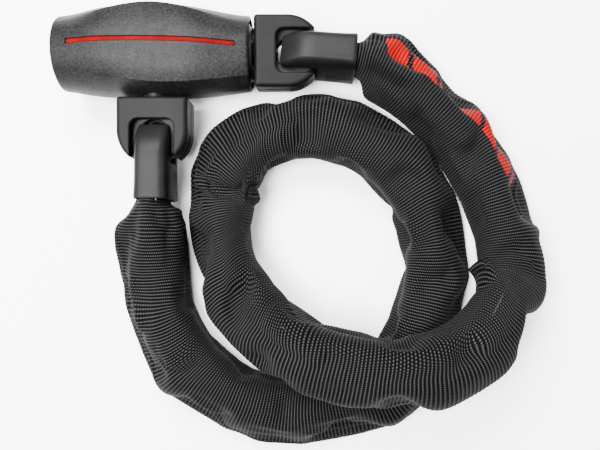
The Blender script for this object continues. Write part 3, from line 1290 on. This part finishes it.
NODE_MATS = (("chain_link", M_LINK), ("left_end_link", M_LINK), ("right_end_link", M_LINK), ("case_screw", M_PLATE), ("dust_cover_pin", M_PLATE),
             ("dust_cover", M_CAP), ("lock_core", M_COATED), ("key_plug", M_BRASS), ("plug_clip", M_PLATE), ("plug_cam", M_PLATE), ("locking_pawl", M_PLATE),
             ("pawl_spring", M_PLATE), ("bolt_ejector", M_PLATE), ("locking_eye", M_PLATE), ("swivel_eye", M_PLATE), ("swivel_retainer", M_PLATE),
             ("swivel_bush", M_BRONZE), ("red_inlay", M_RED), ("left_eye", M_EYE), ("right_eye", M_EYE), ("left_link_boot", M_BOOT), ("right_link_boot", M_BOOT),
             ("case_", M_CASE), ("left_end_cap", M_CAP), ("right_end_collar", M_CAP))


def dress_nodes():
    for name, ob in frame["nodes"].items():
        mat = next((m for k, m in NODE_MATS if name.startswith(k)), M_CASE)
        ob.data.materials.clear()
        ob.data.materials.append(mat)
        if name.startswith(("left_end_cap", "chain_link", "left_end_link", "right_end_link", "key_plug", "dust_cover", "case_screw")):
            b = ob.modifiers.new("edge", 'BEVEL')
            b.width = 0.00035
            b.segments = 2
            b.limit_method = 'ANGLE'
            b.angle_limit = math.radians(35)


def studio():
    sc = bpy.context.scene
    n = Nodes("pale_floor_look")
    f = n.noise(14.0, 3.0, 0.5)
    n.set(Base_Color=n.ramp(f, [(0.0, (0.93, 0.93, 0.93)), (1.0, (0.96, 0.96, 0.96))]), Roughness=0.75, Normal=n.bump(n.noise(400.0, 2.0, 0.5), 0.02, 0.0002))
    floor = skin("studio_floor", [[(x, y, z) for x, y in ((-2500, -2500), (2500, -2500), (2500, 2500), (-2500, 2500))] for z in (-3.0, -0.05)])
    floor.data.materials.append(n.m)
    world = bpy.data.worlds.new("studio_world")
    world.use_nodes = True
    world.node_tree.nodes["Background"].inputs[0].default_value = (1, 1, 1, 1)
    world.node_tree.nodes["Background"].inputs[1].default_value = WORLD_POWER
    sc.world = world
    for name, loc, size, power, target in LIGHTS:
        data = bpy.data.lights.new(name, 'AREA')
        data.shape = 'RECTANGLE'
        data.size, data.size_y = size
        data.energy = power
        ob = bpy.data.objects.new(name, data)
        sc.collection.objects.link(ob)
        ob.location = loc
        ob.rotation_euler = (Vector(target) - Vector(loc)).to_track_quat('-Z', 'Y').to_euler()
    cam = bpy.data.cameras.new("camera")
    cam.lens, cam.sensor_width = 36.0, 36.0
    cam.shift_x, cam.shift_y = CAM_SHIFT
    cam.clip_start = 0.01
    ob = bpy.data.objects.new("camera", cam)
    ob.location = CAM_AT
    sc.collection.objects.link(ob)
    sc.camera = ob


CUT_Y = -120.0
PRINT_S0, PRINT_S1, PRINT_N, PRINT_A = 14.0, 118.0, 7, 2.15
SIM_FRAMES = 26
FOLD_SEED, SLACK_LOOSE, SLACK_BEND, GIRTH, COMPRESS, BENDING, PRESSURE = 1.2, 0.14, 1.0, 1.08, 40, 7.0, 0.4
WORLD_POWER = 0.6
CAM_AT = (0.07775, -0.09275, 0.320)
CAM_SHIFT = (-0.025, 0.025)
LIGHTS = (
    ("key_softbox", (-0.12, 0.34, 0.64), (0.45, 0.32), 27.0, (0.07, -0.09, 0.02)),
    ("high_softbox", (-0.17, -0.16, 0.74), (0.40, 0.30), 30.0, (0.05, -0.05, 0.02)),
    ("left_softbox", (-0.55, -0.15, 0.45), (0.5, 0.6), 7.0, (0.07, -0.09, 0.02)),
    ("right_softbox", (0.72, -0.05, 0.50), (0.5, 0.6), 6.0, (0.07, -0.09, 0.02)),
)

RIGHT_BOOT_VIEW = eye_frame(EYE_R_POS + Vector((0, -0.2, 0)), RIGHT_DIR, -6.5)
dress_nodes()
build_metal()
build_barrel()
for upper, tag in ((True, "top"), (False, "bottom")):
    build_cover("left_cover_%s_look" % tag, "left_eye_cover_" + tag, LEFT_M, upper, "bolt", True)
    build_cover("right_cover_%s_look" % tag, "right_eye_cover_" + tag, RIGHT_EYE_M, upper, "swivel", True)
build_boot("left_boot_look", LEFT_M, ("left_link_boot_top", "left_link_boot_bottom"), "left_end", False)
build_boot("right_boot_look", RIGHT_BOOT_VIEW, ("right_link_boot_top", "right_link_boot_bottom"), "lock_case", True)
build_sleeve()
studio()
